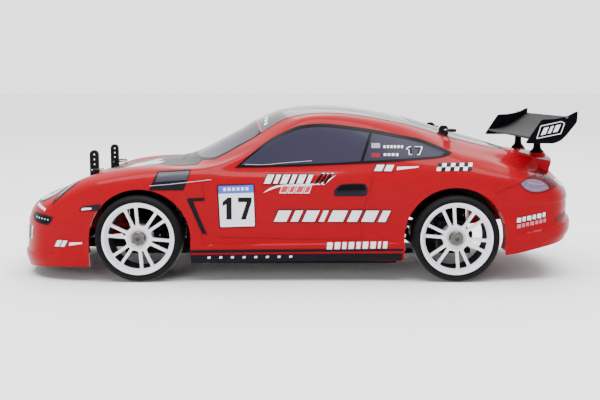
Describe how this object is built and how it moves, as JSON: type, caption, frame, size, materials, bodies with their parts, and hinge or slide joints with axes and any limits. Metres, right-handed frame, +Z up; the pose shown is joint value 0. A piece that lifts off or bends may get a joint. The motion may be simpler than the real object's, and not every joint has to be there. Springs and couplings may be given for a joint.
{
  "type": "rc drift car",
  "caption": "Radio-controlled four-wheel-drive drift car: glossy coupe shell with rear wing on a shaft-drive chassis with steering and sprung wheels.",
  "frame": {"origin": "on the ground, on the centreline, midway between the axles", "axes": "front faces -X, +Z up, the car's left side is towards -Y"},
  "size_m": [0.321, 0.1296, 0.0956],
  "materials": {
    "shell": "glossy painted lexan",
    "trim": "moulded black nylon",
    "gloss_black": "glossy black",
    "tyre": "slick rubber",
    "rim": "satin white nylon",
    "steel": "polished steel",
    "aluminium": "satin",
    "battery": "heat-shrink sleeve",
    "gear": "moulded gear nylon"
  },
  "bodies": {
    "chassis": {"chassis_tub": "trim", "body_shell": "shell", "rear_wing": "gloss_black", "front_bulkhead": "trim", "rear_bulkhead": "trim", "front_body_mount": "trim", "drive_motor": "steel", "steering_servo": "trim", "battery_pack": "battery", "receiver_esc": "trim"},
    "centre_shaft": {"centre_driveshaft": "gear"},
    "motor_pinion": {"motor_pinion": "steel"},
    "front_diff": {"front_diff": "steel"},
    "rear_diff": {"rear_diff": "steel"},
    "servo_saver": {"servo_saver": "trim"},
    "steering_link": {"steering_link": "trim"},
    "lower_arm_front_left": {"lower_arm_front_left": "trim"},
    "hub_carrier_front_left": {"hub_carrier_front_left": "trim"},
    "knuckle_front_left": {"knuckle_front_left": "trim"},
    "wheel_front_left": {"wheel_axle_front_left": "steel", "rim_front_left": "rim", "tyre_front_left": "tyre"},
    "driveshaft_front_left": {"driveshaft_front_left": "steel"},
    "upper_link_front_left": {"upper_link_front_left": "trim"},
    "shock_body_front_left": {"shock_body_front_left": "aluminium"},
    "shock_rod_front_left": {"shock_rod_front_left": "steel"},
    "lower_arm_front_right": {"lower_arm_front_right": "trim"},
    "hub_carrier_front_right": {"hub_carrier_front_right": "trim"},
    "knuckle_front_right": {"knuckle_front_right": "trim"},
    "wheel_front_right": {"wheel_axle_front_right": "steel", "rim_front_right": "rim", "tyre_front_right": "tyre"},
    "driveshaft_front_right": {"driveshaft_front_right": "steel"},
    "upper_link_front_right": {"upper_link_front_right": "trim"},
    "shock_body_front_right": {"shock_body_front_right": "aluminium"},
    "shock_rod_front_right": {"shock_rod_front_right": "steel"},
    "lower_arm_rear_left": {"lower_arm_rear_left": "trim"},
    "hub_carrier_rear_left": {"hub_carrier_rear_left": "trim"},
    "wheel_rear_left": {"wheel_axle_rear_left": "steel", "rim_rear_left": "rim", "tyre_rear_left": "tyre"},
    "driveshaft_rear_left": {"driveshaft_rear_left": "steel"},
    "upper_link_rear_left": {"upper_link_rear_left": "trim"},
    "shock_body_rear_left": {"shock_body_rear_left": "aluminium"},
    "shock_rod_rear_left": {"shock_rod_rear_left": "steel"},
    "lower_arm_rear_right": {"lower_arm_rear_right": "trim"},
    "hub_carrier_rear_right": {"hub_carrier_rear_right": "trim"},
    "wheel_rear_right": {"wheel_axle_rear_right": "steel", "rim_rear_right": "rim", "tyre_rear_right": "tyre"},
    "driveshaft_rear_right": {"driveshaft_rear_right": "steel"},
    "upper_link_rear_right": {"upper_link_rear_right": "trim"},
    "shock_body_rear_right": {"shock_body_rear_right": "aluminium"},
    "shock_rod_rear_right": {"shock_rod_rear_right": "steel"},
    "tie_rod_left": {"tie_rod_left": "trim"},
    "tie_rod_right": {"tie_rod_right": "trim"},
    "front_clip_left": {"front_clip_left": "steel"},
    "front_clip_right": {"front_clip_right": "steel"},
    "rear_clip_left": {"rear_clip_left": "steel"},
    "rear_clip_right": {"rear_clip_right": "steel"}
  },
  "joints": [
    {"name": "front_left_arm_swing", "type": "hinge", "parent": "chassis", "child": "lower_arm_front_left", "pos_m": [-0.087, -0.014, 0.018], "axis": [-1, 0, 0], "range_deg": [-5, 2.4], "stiffness_Nm_per_rad": 1.2, "springref_deg": -1.43},
    {"name": "front_left_carrier_swing", "type": "hinge", "parent": "lower_arm_front_left", "child": "hub_carrier_front_left", "pos_m": [-0.087, -0.04, 0.018], "axis": [-1, 0, 0], "range_deg": [-2.5, 5.1]},
    {"name": "front_left_upper_link_swing", "type": "hinge", "parent": "chassis", "child": "upper_link_front_left", "pos_m": [-0.093, -0.014, 0.033], "axis": [-1, 0, 0], "range_deg": [-5.5, 2.9]},
    {"name": "front_left_shock_swing", "type": "hinge", "parent": "chassis", "child": "shock_body_front_left", "pos_m": [-0.081, -0.024, 0.046], "axis": [-1, 0, 0], "range_deg": [-1, 1]},
    {"name": "front_left_shock_stroke", "type": "slide", "parent": "shock_body_front_left", "child": "shock_rod_front_left", "axis": [0, -0.3139, -0.9495], "range_m": [-0.0016, 0.002]},
    {"name": "front_left_driveshaft_spin", "type": "hinge", "parent": "lower_arm_front_left", "child": "driveshaft_front_left", "pos_m": [-0.087, -0.0284, 0.0239], "axis": [0, 1, 0], "continuous": true},
    {"name": "front_left_steer", "type": "hinge", "parent": "hub_carrier_front_left", "child": "knuckle_front_left", "pos_m": [-0.087, -0.044, 0.0239], "axis": [0, 0, 1], "range_deg": [-20, 20]},
    {"name": "front_left_wheel_spin", "type": "hinge", "parent": "knuckle_front_left", "child": "wheel_front_left", "pos_m": [-0.087, -0.055, 0.0239], "axis": [0, 1, 0], "continuous": true},
    {"name": "front_right_arm_swing", "type": "hinge", "parent": "chassis", "child": "lower_arm_front_right", "pos_m": [-0.087, 0.014, 0.018], "axis": [1, 0, 0], "range_deg": [-5, 2.4], "stiffness_Nm_per_rad": 1.2, "springref_deg": -1.43},
    {"name": "front_right_carrier_swing", "type": "hinge", "parent": "lower_arm_front_right", "child": "hub_carrier_front_right", "pos_m": [-0.087, 0.04, 0.018], "axis": [1, 0, 0], "range_deg": [-2.5, 5.1]},
    {"name": "front_right_upper_link_swing", "type": "hinge", "parent": "chassis", "child": "upper_link_front_right", "pos_m": [-0.093, 0.014, 0.033], "axis": [1, 0, 0], "range_deg": [-5.5, 2.9]},
    {"name": "front_right_shock_swing", "type": "hinge", "parent": "chassis", "child": "shock_body_front_right", "pos_m": [-0.081, 0.024, 0.046], "axis": [1, 0, 0], "range_deg": [-1, 1]},
    {"name": "front_right_shock_stroke", "type": "slide", "parent": "shock_body_front_right", "child": "shock_rod_front_right", "axis": [0, 0.3139, -0.9495], "range_m": [-0.0016, 0.002]},
    {"name": "front_right_driveshaft_spin", "type": "hinge", "parent": "lower_arm_front_right", "child": "driveshaft_front_right", "pos_m": [-0.087, 0.0284, 0.0239], "axis": [0, 1, 0], "continuous": true},
    {"name": "front_right_steer", "type": "hinge", "parent": "hub_carrier_front_right", "child": "knuckle_front_right", "pos_m": [-0.087, 0.044, 0.0239], "axis": [0, 0, 1], "range_deg": [-20, 20]},
    {"name": "front_right_wheel_spin", "type": "hinge", "parent": "knuckle_front_right", "child": "wheel_front_right", "pos_m": [-0.087, 0.055, 0.0239], "axis": [0, 1, 0], "continuous": true},
    {"name": "rear_left_arm_swing", "type": "hinge", "parent": "chassis", "child": "lower_arm_rear_left", "pos_m": [0.087, -0.014, 0.018], "axis": [-1, 0, 0], "range_deg": [-5, 2.4], "stiffness_Nm_per_rad": 1.2, "springref_deg": -1.43},
    {"name": "rear_left_carrier_swing", "type": "hinge", "parent": "lower_arm_rear_left", "child": "hub_carrier_rear_left", "pos_m": [0.087, -0.04, 0.018], "axis": [-1, 0, 0], "range_deg": [-2.5, 5.1]},
    {"name": "rear_left_upper_link_swing", "type": "hinge", "parent": "chassis", "child": "upper_link_rear_left", "pos_m": [0.093, -0.014, 0.033], "axis": [-1, 0, 0], "range_deg": [-5.5, 2.9]},
    {"name": "rear_left_shock_swing", "type": "hinge", "parent": "chassis", "child": "shock_body_rear_left", "pos_m": [0.081, -0.024, 0.046], "axis": [-1, 0, 0], "range_deg": [-1, 1]},
    {"name": "rear_left_shock_stroke", "type": "slide", "parent": "shock_body_rear_left", "child": "shock_rod_rear_left", "axis": [0, -0.3139, -0.9495], "range_m": [-0.0016, 0.002]},
    {"name": "rear_left_driveshaft_spin", "type": "hinge", "parent": "lower_arm_rear_left", "child": "driveshaft_rear_left", "pos_m": [0.087, -0.0284, 0.0239], "axis": [0, 1, 0], "continuous": true},
    {"name": "rear_left_wheel_spin", "type": "hinge", "parent": "hub_carrier_rear_left", "child": "wheel_rear_left", "pos_m": [0.087, -0.055, 0.0239], "axis": [0, 1, 0], "continuous": true},
    {"name": "rear_right_arm_swing", "type": "hinge", "parent": "chassis", "child": "lower_arm_rear_right", "pos_m": [0.087, 0.014, 0.018], "axis": [1, 0, 0], "range_deg": [-5, 2.4], "stiffness_Nm_per_rad": 1.2, "springref_deg": -1.43},
    {"name": "rear_right_carrier_swing", "type": "hinge", "parent": "lower_arm_rear_right", "child": "hub_carrier_rear_right", "pos_m": [0.087, 0.04, 0.018], "axis": [1, 0, 0], "range_deg": [-2.5, 5.1]},
    {"name": "rear_right_upper_link_swing", "type": "hinge", "parent": "chassis", "child": "upper_link_rear_right", "pos_m": [0.093, 0.014, 0.033], "axis": [1, 0, 0], "range_deg": [-5.5, 2.9]},
    {"name": "rear_right_shock_swing", "type": "hinge", "parent": "chassis", "child": "shock_body_rear_right", "pos_m": [0.081, 0.024, 0.046], "axis": [1, 0, 0], "range_deg": [-1, 1]},
    {"name": "rear_right_shock_stroke", "type": "slide", "parent": "shock_body_rear_right", "child": "shock_rod_rear_right", "axis": [0, 0.3139, -0.9495], "range_m": [-0.0016, 0.002]},
    {"name": "rear_right_driveshaft_spin", "type": "hinge", "parent": "lower_arm_rear_right", "child": "driveshaft_rear_right", "pos_m": [0.087, 0.0284, 0.0239], "axis": [0, 1, 0], "continuous": true},
    {"name": "rear_right_wheel_spin", "type": "hinge", "parent": "hub_carrier_rear_right", "child": "wheel_rear_right", "pos_m": [0.087, 0.055, 0.0239], "axis": [0, 1, 0], "continuous": true},
    {"name": "servo_saver_turn", "type": "hinge", "parent": "chassis", "child": "servo_saver", "pos_m": [-0.062, 0.014, 0.0294], "axis": [0, 0, 1], "range_deg": [-20, 20]},
    {"name": "steering_link_turn", "type": "hinge", "parent": "servo_saver", "child": "steering_link", "pos_m": [-0.05, 0.014, 0.0277], "axis": [0, 0, 1], "range_deg": [-20, 20]},
    {"name": "tie_rod_left_swing", "type": "hinge", "parent": "steering_link", "child": "tie_rod_left", "pos_m": [-0.075, -0.02, 0.0239], "axis": [-1, 0, 0], "range_deg": [-5.5, 2.76]},
    {"name": "tie_rod_right_swing", "type": "hinge", "parent": "steering_link", "child": "tie_rod_right", "pos_m": [-0.075, 0.02, 0.0239], "axis": [1, 0, 0], "range_deg": [-5.5, 2.76]},
    {"name": "front_diff_spin", "type": "hinge", "parent": "chassis", "child": "front_diff", "pos_m": [-0.087, 0, 0.0239], "axis": [0, 1, 0], "continuous": true},
    {"name": "rear_diff_spin", "type": "hinge", "parent": "chassis", "child": "rear_diff", "pos_m": [0.087, 0, 0.0239], "axis": [0, 1, 0], "continuous": true},
    {"name": "centre_shaft_spin", "type": "hinge", "parent": "chassis", "child": "centre_shaft", "pos_m": [0, 0, 0.0239], "axis": [1, 0, 0], "continuous": true},
    {"name": "motor_pinion_spin", "type": "hinge", "parent": "chassis", "child": "motor_pinion", "pos_m": [0.0235, 0.01615, 0.0239], "axis": [1, 0, 0], "continuous": true},
    {"name": "front_clip_left_pull", "type": "slide", "parent": "chassis", "child": "front_clip_left", "axis": [0, -1, 0], "range_m": [0, 0.012]},
    {"name": "front_clip_right_pull", "type": "slide", "parent": "chassis", "child": "front_clip_right", "axis": [0, 1, 0], "range_m": [0, 0.012]},
    {"name": "rear_clip_left_pull", "type": "slide", "parent": "chassis", "child": "rear_clip_left", "axis": [0, -1, 0], "range_m": [0, 0.012]},
    {"name": "rear_clip_right_pull", "type": "slide", "parent": "chassis", "child": "rear_clip_right", "axis": [0, 1, 0], "range_m": [0, 0.012]}
  ],
  "couplings": [
    {"joint": "front_left_carrier_swing", "follows": "front_left_arm_swing", "ratio": -1},
    {"joint": "front_left_upper_link_swing", "follows": "front_left_arm_swing", "ratio": 1},
    {"joint": "front_left_shock_swing", "follows": "front_left_arm_swing", "ratio": 0.080106},
    {"joint": "front_left_shock_stroke", "follows": "front_left_arm_swing", "m_per_rad": -0.018283},
    {"joint": "front_left_driveshaft_spin", "follows": "rear_left_wheel_spin", "ratio": 1},
    {"joint": "front_left_wheel_spin", "follows": "rear_left_wheel_spin", "ratio": 1},
    {"joint": "front_right_carrier_swing", "follows": "front_right_arm_swing", "ratio": -1},
    {"joint": "front_right_upper_link_swing", "follows": "front_right_arm_swing", "ratio": 1},
    {"joint": "front_right_shock_swing", "follows": "front_right_arm_swing", "ratio": 0.080106},
    {"joint": "front_right_shock_stroke", "follows": "front_right_arm_swing", "m_per_rad": -0.018283},
    {"joint": "front_right_driveshaft_spin", "follows": "rear_left_wheel_spin", "ratio": 1},
    {"joint": "front_right_steer", "follows": "front_left_steer", "ratio": 1},
    {"joint": "front_right_wheel_spin", "follows": "rear_left_wheel_spin", "ratio": 1},
    {"joint": "rear_left_carrier_swing", "follows": "rear_left_arm_swing", "ratio": -1},
    {"joint": "rear_left_upper_link_swing", "follows": "rear_left_arm_swing", "ratio": 1},
    {"joint": "rear_left_shock_swing", "follows": "rear_left_arm_swing", "ratio": 0.080106},
    {"joint": "rear_left_shock_stroke", "follows": "rear_left_arm_swing", "m_per_rad": -0.018283},
    {"joint": "rear_left_driveshaft_spin", "follows": "rear_left_wheel_spin", "ratio": 1},
    {"joint": "rear_right_carrier_swing", "follows": "rear_right_arm_swing", "ratio": -1},
    {"joint": "rear_right_upper_link_swing", "follows": "rear_right_arm_swing", "ratio": 1},
    {"joint": "rear_right_shock_swing", "follows": "rear_right_arm_swing", "ratio": 0.080106},
    {"joint": "rear_right_shock_stroke", "follows": "rear_right_arm_swing", "m_per_rad": -0.018283},
    {"joint": "rear_right_driveshaft_spin", "follows": "rear_left_wheel_spin", "ratio": 1},
    {"joint": "rear_right_wheel_spin", "follows": "rear_left_wheel_spin", "ratio": 1},
    {"joint": "servo_saver_turn", "follows": "front_left_steer", "ratio": 1},
    {"joint": "steering_link_turn", "follows": "front_left_steer", "ratio": -1},
    {"joint": "tie_rod_left_swing", "follows": "front_left_arm_swing", "ratio": 1.0833},
    {"joint": "tie_rod_right_swing", "follows": "front_right_arm_swing", "ratio": 1.0833},
    {"joint": "front_diff_spin", "follows": "rear_left_wheel_spin", "ratio": 1},
    {"joint": "rear_diff_spin", "follows": "rear_left_wheel_spin", "ratio": 1},
    {"joint": "centre_shaft_spin", "follows": "rear_left_wheel_spin", "ratio": 2.25},
    {"joint": "motor_pinion_spin", "follows": "rear_left_wheel_spin", "ratio": -6.3}
  ]
}
